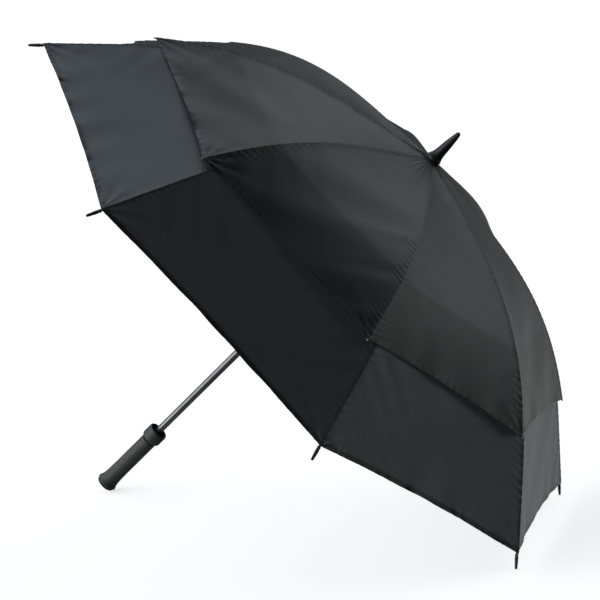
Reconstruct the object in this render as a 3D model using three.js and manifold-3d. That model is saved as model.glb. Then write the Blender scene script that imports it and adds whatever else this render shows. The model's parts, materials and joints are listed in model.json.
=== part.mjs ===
// Golf umbrella with a vented double canopy, opened and lying on the ground.
//
// The umbrella is built upright in its own frame: the shaft on Z, the ferrule up, z = 0 where the
// canopy starts at the crown. The whole group is then laid down so that two rib tips and the end of
// the handle touch the ground. Ribs, stretchers and canopy sectors are numbered 1 to 8 about the
// shaft. Ribs 1 and 8 are the two that stand on the ground.

import * as THREE from 'three';
import { mergeVertices } from 'three/addons/utils/BufferGeometryUtils.js';
import Module from 'manifold-3d';

const wasm = await Module();
wasm.setup();

// ---- Driving dimensions, in millimetres and degrees ----

const RIB_COUNT = 8;
const SECTOR = (2 * Math.PI) / RIB_COUNT;
const GAP = 0.4;

// The profile of the canopy over a rib: straight near the crown and at the tip, bent between.
const CROWN_R = 12;
const RIB_ARC = 716;
const CROWN_SLOPE = 9;
const TIP_SLOPE = 42;
const BEND_FROM = 0.15;
const BEND_TO = 0.85;

// Canopies.
const CLOTH_T = 0.6;
const CROWN_HOLE_R = 9;
const UPPER_ARC = 525;
const UPPER_CLEARANCE = 1.6;
const UPPER_LIFT = 6.6;
const UPPER_TWIST = 2.4;
const UPPER_SCALLOP = 10;
const LOWER_FROM = 380;
const LOWER_SCALLOP = 8;
const PANEL_SAG = 6;

// Shaft and the pieces fixed to it.
const SHAFT_R = 7;
const SHAFT_TOP = 23;
const BORE_R = SHAFT_R + GAP;
const FERRULE_TOP = 71.5;
const CAP_BOTTOM = 3.8;
const CAP_TOP = 10;
const HANDLE_END = -892.6;
const CUP_TOP = -735;
const CUP_BOTTOM = -760;
const CUP_R = 19.2;
const CUP_INNER_R = 16.8;
const CUP_DEPTH = 17;
const GRIP_R = 15.5;
const GRIP_RIM_R = 20;
const END_CAP_R = 18;
const END_CAP_T = 4;
const END_CAP_EDGE = 1.5;

// Ribs, stretchers and the rings that hold them.
const ROD_R = 1.9;
const ROD_DEPTH = 2.6;
const PIVOT_Z = -4.6;
const EYE_R = 2.8;
const EYE_W = 3.0;
const WIRE_R = 0.6;
const WIRE_HOLE_R = 0.95;
const BRACKET_ARC = 350;
const BRACKET_DROP = 8;
const BRACKET_HALF = 12;
const PIN_R = 0.9;
const PIN_HOLE_R = 1.25;
const FLEX_ARC = BRACKET_ARC + BRACKET_HALF + 2;
const FLEX_GAP = 0.8;
const STRETCHER_HALF_H = 2.3;
const RING_R = 15;
const RING_HUB_R = 8.8;
const RING_HALF_H = 4.6;
const SLOT_W = 4.0;
const SLEEVE_R = 10.4;
const SLEEVE_LENGTH = 20;

// Tip caps on the ribs.
const TIP_LENGTH = 25.6;
const TIP_BASE_R = 3.1;
const TIP_END_R = 2.3;
const TIP_BORE_DEPTH = 12;
const ROD_INTO_TIP = 10;

// The latch button on the runner, pressed towards the shaft.
const BOSS_HALF_W = 3.4;
const BOSS_R = 11.8;
const BOSS_EDGE = 1.2;
const BUTTON_HALF_W = 2.2;
const BUTTON_FACE_R = 14.2;
const BUTTON_BACK_R = 11.4;
const POCKET_R = 8.4;
const BUTTON_HALF_L = 4.5;
const BUTTON_BELOW = 12;

// The tie strap, sewn to one lower panel beside its rib.
const STRAP_RIB = 2;
const STRAP_W = 20;
const STRAP_FROM = 550;
const STRAP_TO = 712;

// ---- Materials ----

function material(color, roughness, metalness = 0) {
  return new THREE.MeshStandardMaterial({ color, roughness, metalness });
}

const CLOTH = material(0x1c1d20, 0.6);
const STRAP_CLOTH = material(0x151517, 0.8);
const FIBREGLASS = material(0x2a2b2d, 0.35);
const BLACK_PLASTIC = material(0x0f0f10, 0.4);
const GRIP_FOAM = material(0x242628, 0.85);
const SHAFT_COAT = material(0x303236, 0.3);
const STEEL = material(0xb8bcc0, 0.3, 1);

// ---- Profile of the canopy over a rib ----

const radians = THREE.MathUtils.degToRad;

function slopeAt(arc) {
  const bend = THREE.MathUtils.smoothstep(arc / RIB_ARC, BEND_FROM, BEND_TO);
  return radians(THREE.MathUtils.lerp(CROWN_SLOPE, TIP_SLOPE, bend));
}

const PROFILE_STEP = 1;
const profileTable = [new THREE.Vector2(CROWN_R, 0)];
for (let arc = 0; arc < RIB_ARC + 2 * TIP_LENGTH; arc += PROFILE_STEP) {
  const slope = slopeAt(arc + PROFILE_STEP / 2);
  const step = new THREE.Vector2(Math.cos(slope), -Math.sin(slope)).multiplyScalar(PROFILE_STEP);
  profileTable.push(profileTable.at(-1).clone().add(step));
}

// A point (radius, z) at an arc length from the crown, lifted off the profile along its normal.
function profileAt(arc, lift = 0) {
  const slope = slopeAt(arc);
  const index = Math.max(0, Math.min(profileTable.length - 1, Math.floor(arc / PROFILE_STEP)));
  const rest = arc - index * PROFILE_STEP;
  const start = profileTable[index];
  return new THREE.Vector2(
    start.x + rest * Math.cos(slope) + lift * Math.sin(slope),
    start.y - rest * Math.sin(slope) + lift * Math.cos(slope),
  );
}

// ---- Solids ----

function toSolid(geometry) {
  const bare = geometry.clone();
  bare.deleteAttribute('normal');
  bare.deleteAttribute('uv');
  const merged = mergeVertices(bare, 1e-4);
  return new wasm.Manifold(new wasm.Mesh({
    numProp: 3,
    vertProperties: new Float32Array(merged.attributes.position.array),
    triVerts: new Uint32Array(merged.index.array),
  }));
}

function toGeometry(solid) {
  const mesh = solid.getMesh();
  const geometry = new THREE.BufferGeometry();
  geometry.setAttribute('position', new THREE.BufferAttribute(new Float32Array(mesh.vertProperties), 3));
  geometry.setIndex(new THREE.BufferAttribute(new Uint32Array(mesh.triVerts), 1));
  geometry.computeVertexNormals();
  return geometry;
}

function join(...geometries) {
  return toGeometry(geometries.map(toSolid).reduce((whole, piece) => whole.add(piece)));
}

function cut(geometry, ...tools) {
  return toGeometry(tools.map(toSolid).reduce((whole, tool) => whole.subtract(tool), toSolid(geometry)));
}

// Turns a closed mesh's faces to point out.
function facingOut(geometry) {
  const at = geometry.attributes.position;
  const index = geometry.index;
  const [a, b, c] = [new THREE.Vector3(), new THREE.Vector3(), new THREE.Vector3()];
  let volume = 0;
  for (let i = 0; i < index.count; i += 3) {
    a.fromBufferAttribute(at, index.getX(i));
    b.fromBufferAttribute(at, index.getX(i + 1));
    c.fromBufferAttribute(at, index.getX(i + 2));
    volume += a.dot(b.cross(c));
  }
  if (volume < 0) {
    for (let i = 0; i < index.count; i += 3) {
      const first = index.getX(i);
      index.setX(i, index.getX(i + 2));
      index.setX(i + 2, first);
    }
    geometry.computeVertexNormals();
  }
  return geometry;
}

// A body turned about Z from [radius, z] pairs.
function turned(pairs, sides, closed = false) {
  const points = pairs.map(([r, z]) => new THREE.Vector2(r, z));
  if (closed) {
    points.push(points[0].clone());
  }
  return facingOut(new THREE.LatheGeometry(points, sides).rotateX(Math.PI / 2));
}

function block(x0, x1, y0, y1, z0, z1) {
  return new THREE.BoxGeometry(x1 - x0, y1 - y0, z1 - z0)
    .translate((x0 + x1) / 2, (y0 + y1) / 2, (z0 + z1) / 2);
}

function ringTube(radius, tube, z) {
  return new THREE.TorusGeometry(radius, tube, 5, 4 * RIB_COUNT).translate(0, 0, z);
}

// A plate in the plane of a rib: the shape's x is the radius, its y is z.
function plate(shape, thickness, centre = 0) {
  return new THREE.ExtrudeGeometry(shape, { depth: thickness, bevelEnabled: false, curveSegments: 4 })
    .translate(0, 0, -thickness / 2 - centre)
    .rotateX(Math.PI / 2);
}

function disc(radius) {
  return new THREE.Shape().absarc(0, 0, radius, 0, 2 * Math.PI);
}

function roundHole(x, y, radius) {
  return new THREE.Path().absarc(x, y, radius, 0, 2 * Math.PI, true);
}

// A round rod through points of the profile plane.
function rod(points, radius, steps) {
  const path = new THREE.CatmullRomCurve3(points.map((p) => new THREE.Vector3(p.x, 0, p.y)));
  return facingOut(mergeVertices(bareExtrusion(disc(radius), path, steps), 1e-4));
}

function bareExtrusion(shape, extrudePath, steps) {
  const geometry = new THREE.ExtrudeGeometry(shape, { extrudePath, steps, curveSegments: 4 });
  geometry.deleteAttribute('normal');
  geometry.deleteAttribute('uv');
  return geometry;
}

// A closed skin between two surfaces, each a function of (u, v) from 0 to 1.
function skin(lower, upper, rows, columns) {
  const positions = [];
  const index = [];
  const across = columns + 1;
  const layer = (rows + 1) * across;
  for (const surface of [lower, upper]) {
    for (let i = 0; i <= rows; i += 1) {
      for (let j = 0; j <= columns; j += 1) {
        positions.push(...surface(i / rows, j / columns).toArray());
      }
    }
  }
  const quad = (a, b, c, d) => index.push(a, b, c, a, c, d);
  for (let i = 0; i < rows; i += 1) {
    for (let j = 0; j < columns; j += 1) {
      const k = i * across + j;
      quad(k, k + 1, k + across + 1, k + across);
      quad(layer + k, layer + k + across, layer + k + across + 1, layer + k + 1);
    }
  }
  for (let i = 0; i < rows; i += 1) {
    const first = i * across;
    const last = first + columns;
    quad(first, first + across, layer + first + across, layer + first);
    quad(last, layer + last, layer + last + across, last + across);
  }
  for (let j = 0; j < columns; j += 1) {
    const end = rows * across + j;
    quad(j, layer + j, layer + j + 1, j + 1);
    quad(end, end + 1, layer + end + 1, layer + end);
  }
  const geometry = new THREE.BufferGeometry();
  geometry.setAttribute('position', new THREE.Float32BufferAttribute(positions, 3));
  geometry.setIndex(index);
  geometry.computeVertexNormals();
  return facingOut(geometry);
}

// ---- Canopy ----

// A point of a canopy in the frame of its rib (the rib's plane is y = 0). side runs from -1 on one
// mid-panel line to 1 on the other. The cloth is ruled between the rib and the mid-panel line, and
// sags a little between them.
function canopyPoint(arc, side, lift, twist) {
  const across = Math.abs(side);
  const half = (SECTOR / 2) * Math.sign(side || 1);
  const overRib = profileAt(arc, lift);
  const middle = profileAt(arc).multiply(new THREE.Vector2(Math.cos(SECTOR / 2), 1));
  const slope = slopeAt(arc);
  const normal = new THREE.Vector2(Math.sin(slope), Math.cos(slope) * Math.cos(SECTOR / 2)).normalize();
  middle.addScaledVector(normal, lift - PANEL_SAG * Math.min(1, arc / (0.3 * RIB_ARC)));
  const ribPoint = new THREE.Vector3(overRib.x, 0, overRib.y);
  const midPoint = new THREE.Vector3(middle.x * Math.cos(half), middle.x * Math.sin(half), middle.y);
  const towardsRib = new THREE.Vector3(Math.sin(half), -Math.cos(half), 0).multiplyScalar(Math.sign(half));
  midPoint.addScaledVector(towardsRib, GAP / 2);
  return ribPoint.lerp(midPoint, across).applyAxisAngle(new THREE.Vector3(0, 0, 1), twist);
}

function scalloped(arc, depth, side) {
  const across = Math.abs(side);
  return arc - depth * across * (2 - across);
}

function upperLift(arc) {
  return UPPER_CLEARANCE + UPPER_LIFT * Math.max(0, arc / UPPER_ARC) ** 2.4;
}

function upperCanopy() {
  const start = CROWN_HOLE_R - CROWN_R;
  const surface = (extra) => (u, v) => {
    const side = 2 * v - 1;
    const arc = THREE.MathUtils.lerp(start, scalloped(UPPER_ARC, UPPER_SCALLOP, side), u);
    const twist = -radians(UPPER_TWIST) * Math.max(0, arc / UPPER_ARC);
    return canopyPoint(arc, side, upperLift(arc) + extra, twist);
  };
  return skin(surface(0), surface(CLOTH_T), 10, 4);
}

function lowerCanopy() {
  const surface = (extra) => (u, v) => {
    const side = 2 * v - 1;
    const arc = THREE.MathUtils.lerp(LOWER_FROM, scalloped(RIB_ARC, LOWER_SCALLOP, side), u);
    return canopyPoint(arc, side, GAP + extra, 0);
  };
  return skin(surface(0), surface(CLOTH_T), 8, 4);
}

function tieStrap() {
  const start = ROD_R + 2;
  const surface = (extra) => (u, v) => {
    const arc = THREE.MathUtils.lerp(STRAP_FROM, STRAP_TO, u);
    const halfPanel = profileAt(arc).x * Math.sin(SECTOR / 2);
    const side = (start + STRAP_W * v) / halfPanel;
    return canopyPoint(arc, side, GAP + CLOTH_T + 1 + extra, 0);
  };
  return skin(surface(0), surface(1), 5, 2);
}

// ---- Ribs and stretchers, in the plane of a rib ----

const notchPivot = new THREE.Vector2(CROWN_R, PIVOT_Z);
const bracketPivot = profileAt(BRACKET_ARC, -(ROD_DEPTH + BRACKET_DROP));
const flexPoint = profileAt(FLEX_ARC, -ROD_DEPTH);
const stretcherLength = bracketPivot.distanceTo(notchPivot);
// Rib and stretcher make an isosceles triangle on the shaft, so the runner travels straight.
const runnerPivot = new THREE.Vector2(CROWN_R, 2 * bracketPivot.y - notchPivot.y);

function eye(holeRadius) {
  const shape = disc(EYE_R);
  shape.holes.push(roundHole(0, 0, holeRadius));
  return shape;
}

function bracketCheek(centre) {
  const along = slopeAt(BRACKET_ARC);
  const left = profileAt(BRACKET_ARC - 8, -ROD_DEPTH);
  const right = profileAt(BRACKET_ARC + 8, -ROD_DEPTH);
  const shape = new THREE.Shape();
  shape.moveTo(left.x, left.y);
  shape.absarc(bracketPivot.x, bracketPivot.y, EYE_R + 0.6, Math.PI - along, 2 * Math.PI - along);
  shape.lineTo(right.x, right.y);
  return plate(shape, 1.4, centre);
}

function ribInner() {
  const first = profileAt(30, -ROD_DEPTH);
  const start = notchPivot.clone().lerp(first, 1.7 / notchPivot.distanceTo(first));
  const points = [start, first];
  for (const share of [0.3, 0.5, 0.7, 0.85]) {
    points.push(profileAt(FLEX_ARC * share, -ROD_DEPTH));
  }
  points.push(profileAt(FLEX_ARC - FLEX_GAP, -ROD_DEPTH));
  const sleeve = rod([
    profileAt(BRACKET_ARC - BRACKET_HALF, -ROD_DEPTH),
    profileAt(BRACKET_ARC, -ROD_DEPTH),
    profileAt(BRACKET_ARC + BRACKET_HALF, -ROD_DEPTH),
  ], ROD_R + 1.4, 2);
  const pin = plate(disc(PIN_R), 5).translate(bracketPivot.x, 0, bracketPivot.y);
  const notchEye = plate(eye(WIRE_HOLE_R), EYE_W).translate(notchPivot.x, 0, notchPivot.y);
  const inside = EYE_W / 2 + GAP;
  return join(
    notchEye,
    rod(points, ROD_R, 6),
    sleeve,
    bracketCheek(inside + 0.7),
    bracketCheek(-inside - 0.7),
    pin,
  );
}

function ribOuter() {
  const points = [];
  const end = RIB_ARC + ROD_INTO_TIP;
  const steps = 6;
  for (let i = 0; i <= steps; i += 1) {
    points.push(profileAt(THREE.MathUtils.lerp(FLEX_ARC + FLEX_GAP, end, i / steps), -ROD_DEPTH));
  }
  return rod(points, ROD_R, steps);
}

function ribTip() {
  const base = RIB_ARC + GAP;
  const end = base + TIP_LENGTH - GAP;
  const round = TIP_END_R * Math.SQRT1_2;
  const body = turned([
    [TIP_BASE_R, 0],
    [TIP_BASE_R, 8],
    [TIP_END_R, end - base - TIP_END_R],
    [round, end - base - TIP_END_R + round],
    [0, end - base],
    [0, TIP_BORE_DEPTH],
    [ROD_R + GAP, TIP_BORE_DEPTH],
    [ROD_R + GAP, 0],
  ], 8, true);
  const at = profileAt(base, -ROD_DEPTH);
  return body.rotateY(Math.PI / 2 + slopeAt(base)).translate(at.x, 0, at.y);
}

// Lies along +x from the bracket's pin to the runner's wire.
function stretcher() {
  const shape = new THREE.Shape();
  const neck = Math.sqrt(EYE_R ** 2 - STRETCHER_HALF_H ** 2);
  const tilt = Math.atan2(STRETCHER_HALF_H, neck);
  shape.absarc(0, 0, EYE_R, tilt, 2 * Math.PI - tilt);
  shape.absarc(stretcherLength, 0, EYE_R, Math.PI + tilt, 3 * Math.PI - tilt);
  shape.closePath();
  shape.holes.push(roundHole(0, 0, PIN_HOLE_R));
  shape.holes.push(roundHole(stretcherLength, 0, WIRE_HOLE_R));
  return plate(shape, EYE_W);
}

// ---- Rings ----

// A slotted ring with a tunnel for the wire that the eyes turn on. extra joins more to the ring.
function slottedRing(pivotZ, profile, extra = [], holes = []) {
  const body = turned(profile, 4 * RIB_COUNT, true);
  const slots = [];
  for (let k = 0; k < RIB_COUNT; k += 1) {
    const slot = block(RING_HUB_R, RING_R + 5, -SLOT_W / 2, SLOT_W / 2,
      pivotZ - RING_HALF_H - 0.01, pivotZ + RING_HALF_H + 5);
    slots.push(slot.rotateZ((k + 0.5) * SECTOR));
  }
  return cut(join(body, ...extra), ...slots, ringTube(CROWN_R, WIRE_HOLE_R, pivotZ), ...holes);
}

function topNotch() {
  const low = PIVOT_Z - RING_HALF_H;
  const high = PIVOT_Z + RING_HALF_H - 0.4;
  return slottedRing(PIVOT_Z, [
    [BORE_R, low], [RING_R - 1, low], [RING_R, low + 1], [RING_R, high - 1], [RING_R - 1, high], [BORE_R, high],
  ]);
}

function runner() {
  const low = runnerPivot.y - RING_HALF_H;
  const high = runnerPivot.y + RING_HALF_H;
  const end = low - SLEEVE_LENGTH;
  const buttonZ = runnerPivot.y - BUTTON_BELOW;
  const boss = block(SHAFT_R + 2, BOSS_R, -BOSS_HALF_W, BOSS_HALF_W,
    buttonZ - BUTTON_HALF_L - BOSS_EDGE, low + 0.5);
  const pocket = block(POCKET_R, BOSS_R + 5, -BUTTON_HALF_W - GAP, BUTTON_HALF_W + GAP,
    buttonZ - BUTTON_HALF_L - GAP, buttonZ + BUTTON_HALF_L + GAP);
  return slottedRing(runnerPivot.y, [
    [BORE_R, end], [SLEEVE_R, end], [SLEEVE_R, low - 1], [RING_R - 1, low], [RING_R, low + 1],
    [RING_R, high - 1], [RING_R - 1, high], [BORE_R, high],
  ], [boss], [pocket]);
}

function latchButton() {
  const z = runnerPivot.y - BUTTON_BELOW;
  const shape = new THREE.Shape();
  shape.moveTo(BUTTON_BACK_R, z - BUTTON_HALF_L);
  shape.lineTo(BUTTON_FACE_R - 1, z - BUTTON_HALF_L);
  shape.lineTo(BUTTON_FACE_R, z - BUTTON_HALF_L + 2);
  shape.lineTo(BUTTON_FACE_R, z + BUTTON_HALF_L - 2);
  shape.lineTo(BUTTON_FACE_R - 1, z + BUTTON_HALF_L);
  shape.lineTo(BUTTON_BACK_R, z + BUTTON_HALF_L);
  return plate(shape, 2 * BUTTON_HALF_W);
}

// ---- Shaft, ferrule and handle ----

function shaft() {
  const bottom = HANDLE_END + END_CAP_T + 6;
  return turned([[0, bottom], [SHAFT_R, bottom], [SHAFT_R, SHAFT_TOP], [0, SHAFT_TOP]], 16);
}

function crownCap() {
  return turned([
    [BORE_R, CAP_BOTTOM], [12.5, CAP_BOTTOM], [13.2, CAP_BOTTOM + 1.4], [13.2, CAP_TOP - 1], [12.4, CAP_TOP],
    [BORE_R, CAP_TOP],
  ], 16, true);
}

function ferrule() {
  const low = CAP_TOP + GAP;
  const bore = SHAFT_TOP + GAP;
  return turned([
    [BORE_R, low], [12.6, low], [12.2, low + 2], [10.6, low + 6], [9.7, low + 12], [8.2, low + 30],
    [5.6, low + 50], [4.4, FERRULE_TOP - 3.6], [3, FERRULE_TOP - 1], [0, FERRULE_TOP],
    [0, bore], [BORE_R, bore],
  ], 16, true);
}

function tipCup() {
  const floor = CUP_TOP - CUP_DEPTH;
  return turned([
    [BORE_R, CUP_BOTTOM], [CUP_R - 2, CUP_BOTTOM], [CUP_R, CUP_BOTTOM + 2], [CUP_R, CUP_TOP - 2],
    [CUP_R - 1, CUP_TOP], [CUP_INNER_R, CUP_TOP], [CUP_INNER_R, floor], [BORE_R, floor],
  ], 20, true);
}

function grip() {
  const top = CUP_BOTTOM - GAP;
  const bottom = HANDLE_END + END_CAP_T + GAP;
  const boreEnd = HANDLE_END + END_CAP_T + 6 - GAP;
  return turned([
    [BORE_R, top], [GRIP_R - 2, top], [GRIP_R - 2, top - 2.5], [GRIP_R - 0.6, top - 3.2], [GRIP_R, top - 5],
    [GRIP_R, top - 70], [GRIP_R + 0.6, top - 98], [GRIP_R + 1.8, top - 110],
    [GRIP_RIM_R - 1.4, bottom + 7], [GRIP_RIM_R, bottom + 3.5], [GRIP_RIM_R - 0.6, bottom + 1],
    [GRIP_RIM_R - 2, bottom], [0, bottom], [0, boreEnd], [BORE_R, boreEnd],
  ], 20, true);
}

function gripEndCap() {
  const top = HANDLE_END + END_CAP_T;
  const edge = END_CAP_EDGE;
  return turned([
    [0, HANDLE_END], [END_CAP_R - edge, HANDLE_END], [END_CAP_R, HANDLE_END + edge], [END_CAP_R, top], [0, top],
  ], 20);
}

// ---- Assembly ----

function named(name, geometry, look) {
  const mesh = new THREE.Mesh(geometry, look);
  mesh.name = name;
  return mesh;
}

// A group whose origin is a pivot. Its meshes keep the coordinates of the frame outside it.
function pivotGroup(name, pivot, meshes) {
  const group = new THREE.Group();
  group.name = name;
  group.position.set(pivot.x, 0, pivot.y);
  for (const mesh of meshes) {
    mesh.position.set(-pivot.x, 0, -pivot.y);
    group.add(mesh);
  }
  return group;
}

function ribAssembly(k) {
  const frame = new THREE.Group();
  frame.rotation.z = (k - 0.5) * SECTOR;
  const inner = [
    named(`rib_${k}_inner`, ribInner(), FIBREGLASS),
    named(`canopy_upper_${k}`, upperCanopy(), CLOTH),
  ];
  const outer = [
    named(`rib_${k}_outer`, ribOuter(), FIBREGLASS),
    named(`rib_${k}_tip`, ribTip(), BLACK_PLASTIC),
    named(`canopy_lower_${k}`, lowerCanopy(), CLOTH),
  ];
  if (k === STRAP_RIB) {
    outer.push(named('tie_strap', tieStrap(), STRAP_CLOTH));
  }
  frame.add(pivotGroup(`notch_hinge_${k}`, notchPivot, inner));
  frame.add(pivotGroup(`flex_hinge_${k}`, flexPoint, outer));

  const bar = named(`stretcher_${k}`, stretcher(), FIBREGLASS);
  const towards = runnerPivot.clone().sub(bracketPivot);
  bar.rotation.y = -Math.atan2(towards.y, towards.x);
  const barGroup = new THREE.Group();
  barGroup.name = `bracket_hinge_${k}`;
  barGroup.position.set(bracketPivot.x, 0, bracketPivot.y);
  barGroup.add(bar);
  frame.add(barGroup);
  return frame;
}

function uprightUmbrella() {
  const umbrella = new THREE.Group();
  umbrella.add(named('shaft', shaft(), SHAFT_COAT));
  umbrella.add(named('ferrule', ferrule(), BLACK_PLASTIC));
  umbrella.add(named('crown_cap', crownCap(), BLACK_PLASTIC));
  umbrella.add(named('top_notch', topNotch(), BLACK_PLASTIC));
  umbrella.add(named('notch_wire', ringTube(CROWN_R, WIRE_R, PIVOT_Z), STEEL));
  umbrella.add(named('tip_cup', tipCup(), BLACK_PLASTIC));
  umbrella.add(named('grip', grip(), GRIP_FOAM));
  umbrella.add(named('grip_end_cap', gripEndCap(), BLACK_PLASTIC));
  umbrella.add(named('runner', runner(), BLACK_PLASTIC));
  umbrella.add(named('runner_wire', ringTube(CROWN_R, WIRE_R, runnerPivot.y), STEEL));
  umbrella.add(named('latch_button', latchButton(), BLACK_PLASTIC));
  const runnerMark = new THREE.Group();
  runnerMark.name = 'runner_hinge';
  runnerMark.position.set(runnerPivot.x * Math.cos(SECTOR / 2), runnerPivot.x * Math.sin(SECTOR / 2), runnerPivot.y);
  umbrella.add(runnerMark);
  for (let k = 1; k <= RIB_COUNT; k += 1) {
    umbrella.add(ribAssembly(k));
  }
  return umbrella;
}

// The turn about Y that brings the round ends of tips 1 and 8 and the edge of the end cap to one
// height. Both are circles in the plane of the shaft: the end cap's edge, and the tips' ends.
function lyingTilt() {
  const tip = profileAt(RIB_ARC + TIP_LENGTH - TIP_END_R, -ROD_DEPTH);
  const across = tip.x * Math.cos(SECTOR / 2) - (END_CAP_R - END_CAP_EDGE);
  const along = tip.y - HANDLE_END;
  const drop = -TIP_END_R;
  return Math.atan2(along, across) + Math.asin(drop / Math.hypot(along, across));
}

function lyingUmbrella() {
  const umbrella = uprightUmbrella();
  umbrella.rotation.y = lyingTilt();
  umbrella.updateMatrixWorld(true);
  const box = new THREE.Box3().setFromObject(umbrella, true);
  const centre = box.getCenter(new THREE.Vector3());
  umbrella.position.set(-centre.x, -centre.y, -box.min.z);
  const part = new THREE.Group();
  part.add(umbrella);
  return part;
}

export default lyingUmbrella();
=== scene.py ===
"""The looks of a golf umbrella with a vented double canopy, opened and lying on the ground.

The umbrella is worked out in its own upright frame: the shaft on Z, the ferrule up, z = 0 where the
canopy starts at the crown. UMBRELLA takes that frame to the frame that the CAD part lies in. Ribs are
numbered 1 to 8, and panel p is the cloth between rib p and the next one. Lengths are in metres. Named
angles are in degrees, but for HALF_SECTOR, which is in radians.
"""

import json
import math

import bmesh
import bpy
import numpy as np
from mathutils import Matrix, Vector


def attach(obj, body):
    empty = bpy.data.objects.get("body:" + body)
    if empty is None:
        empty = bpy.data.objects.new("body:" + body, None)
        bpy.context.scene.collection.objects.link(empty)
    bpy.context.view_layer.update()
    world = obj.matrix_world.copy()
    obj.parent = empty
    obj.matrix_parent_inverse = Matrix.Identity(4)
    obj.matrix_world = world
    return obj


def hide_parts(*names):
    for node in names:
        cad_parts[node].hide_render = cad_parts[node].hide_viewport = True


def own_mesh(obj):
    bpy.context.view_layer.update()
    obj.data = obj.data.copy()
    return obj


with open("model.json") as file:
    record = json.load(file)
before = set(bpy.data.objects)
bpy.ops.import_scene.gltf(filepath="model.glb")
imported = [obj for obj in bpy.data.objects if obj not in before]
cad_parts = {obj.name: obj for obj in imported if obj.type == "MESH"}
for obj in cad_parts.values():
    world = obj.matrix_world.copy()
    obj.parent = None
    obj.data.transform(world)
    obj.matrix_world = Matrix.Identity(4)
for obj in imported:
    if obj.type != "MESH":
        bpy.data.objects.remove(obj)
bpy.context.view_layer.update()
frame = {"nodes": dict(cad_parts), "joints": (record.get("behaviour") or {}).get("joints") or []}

MM = 0.001
RIB_COUNT = 8
RIBS = range(1, RIB_COUNT + 1)
SECTOR = 360 / RIB_COUNT
HALF_SECTOR = math.radians(SECTOR / 2)

# The profile of the canopy over a rib, as in the CAD source.
CROWN_R = 12 * MM
RIB_ARC = 716 * MM
CROWN_SLOPE = 9
TIP_SLOPE = 42
BEND_FROM = 0.15
BEND_TO = 0.85

# The two layers of cloth.
CLOTH_T = 0.6 * MM
CROWN_HOLE_R = 9 * MM
UPPER_ARC = 525 * MM
UPPER_CLEARANCE = 1.6 * MM
UPPER_LIFT = 6.6 * MM
UPPER_TWIST = 2.4
UPPER_SCALLOP = 10 * MM
LOWER_FROM = 380 * MM
LOWER_SCALLOP = 8 * MM
LOWER_LIFT = 0.4 * MM
PANEL_SAG = 6 * MM
HEM_W = 9 * MM
HEM_T = 0.7 * MM

# The grid of the cloth: columns over half a panel, the step between rows, and the rows beside the hem.
CLOTH_COLUMNS = {"upper": 32, "lower": 40}
ROW_STEP = 4.2 * MM
HEM_ROWS = np.array([14, 11, 9.5, 9, 8.5, 7, 5, 3, 1.5, 0.6]) * MM

# Shaft and the pieces fixed to it.
SHAFT_R = 7 * MM
SHAFT_TOP = 23 * MM
FERRULE_TOP = 71.5 * MM
FERRULE_END_R = 4.4 * MM
CAP_BOTTOM = 3.8 * MM
CAP_TOP = 10 * MM
HANDLE_END = -892.6 * MM
CUP_TOP = -735 * MM
CUP_BOTTOM = -760 * MM
CUP_R = 19.2 * MM
CUP_INNER_R = 16.8 * MM
CUP_DEPTH = 17 * MM
GRIP_R = 15.5 * MM
GRIP_RIM_R = 20 * MM
END_CAP_R = 18 * MM
END_CAP_T = 4 * MM

# Ribs.
ROD_R = 1.9 * MM
ROD_DEPTH = 2.6 * MM
PIVOT_Z = -4.6 * MM
EYE_R = 2.8 * MM
EYE_W = 3 * MM
WIRE_R = 0.6 * MM
WIRE_HOLE_R = 0.95 * MM
BRACKET_ARC = 350 * MM
BRACKET_DROP = 8 * MM
BRACKET_HALF = 12 * MM
FLEX_ARC = 364 * MM
FLEX_GAP = 0.8 * MM
TIP_LENGTH = 25.6 * MM
TIP_BASE_R = 3.1 * MM
TIP_END_R = 2.3 * MM
GAP = 0.4 * MM

# The tie strap, sewn to one lower panel beside its rib.
STRAP_RIB = 2
STRAP_W = 20 * MM
STRAP_T = 0.9 * MM
STRAP_FROM = 550 * MM
STRAP_TO = 712 * MM

# The camera.
CAMERA_TARGET = (-0.0204, 0, 0.3902)
CAMERA_DISTANCE = 3.349
CAMERA_AZIMUTH = 16.04
CAMERA_ELEVATION = 8.89
CAMERA_ROLL = 0.86
CAMERA_LENS = 110
CAMERA_SENSOR = 36

# The studio. Each light is a round patch of sky: azimuth, elevation, the angles from its middle to
# its edge and to its even core, its strength and its colour.
SKY_LIGHTS = [
    (84, 48, 34, 8, 0.60, (0.88, 1, 1.04)),
    (42, 34, 36, 8, 0.60, (0.92, 1, 1.02)),
    (160, 48, 40, 8, 1.05, (0.82, 0.97, 1.14)),
    (36, 4, 32, 8, 0.48, (0.96, 1, 1)),
    (74, -16, 28, 5, 0.45, (1, 1, 1)),
    (222, 14, 42, 8, 2.8, (1, 1, 1)),
    (190, -70, 60, 10, 0.35, (1, 1, 1)),
]
ROOM_STRENGTH = 0.015
BACKDROP_STRENGTH = 1.05
FLOOR_HALF = 14
FLOOR_GLOW = 0.66

# Faces that meet at more than this angle have a sharp edge.
SHARP_ANGLE = 35

# Noise textures lie mostly between these two values.
NOISE_LOW = 0.3
NOISE_HIGH = 0.7


# ---- The umbrella's frame ----

def rib_joint(k):
    """The hinge that rib k turns on, as the frame lists it. Rib 1 has the driving joint."""
    name = "canopy_fold" if k == 1 else f"rib_{k}_fold"
    return next(joint for joint in frame["joints"] if joint["name"] == name)


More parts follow.
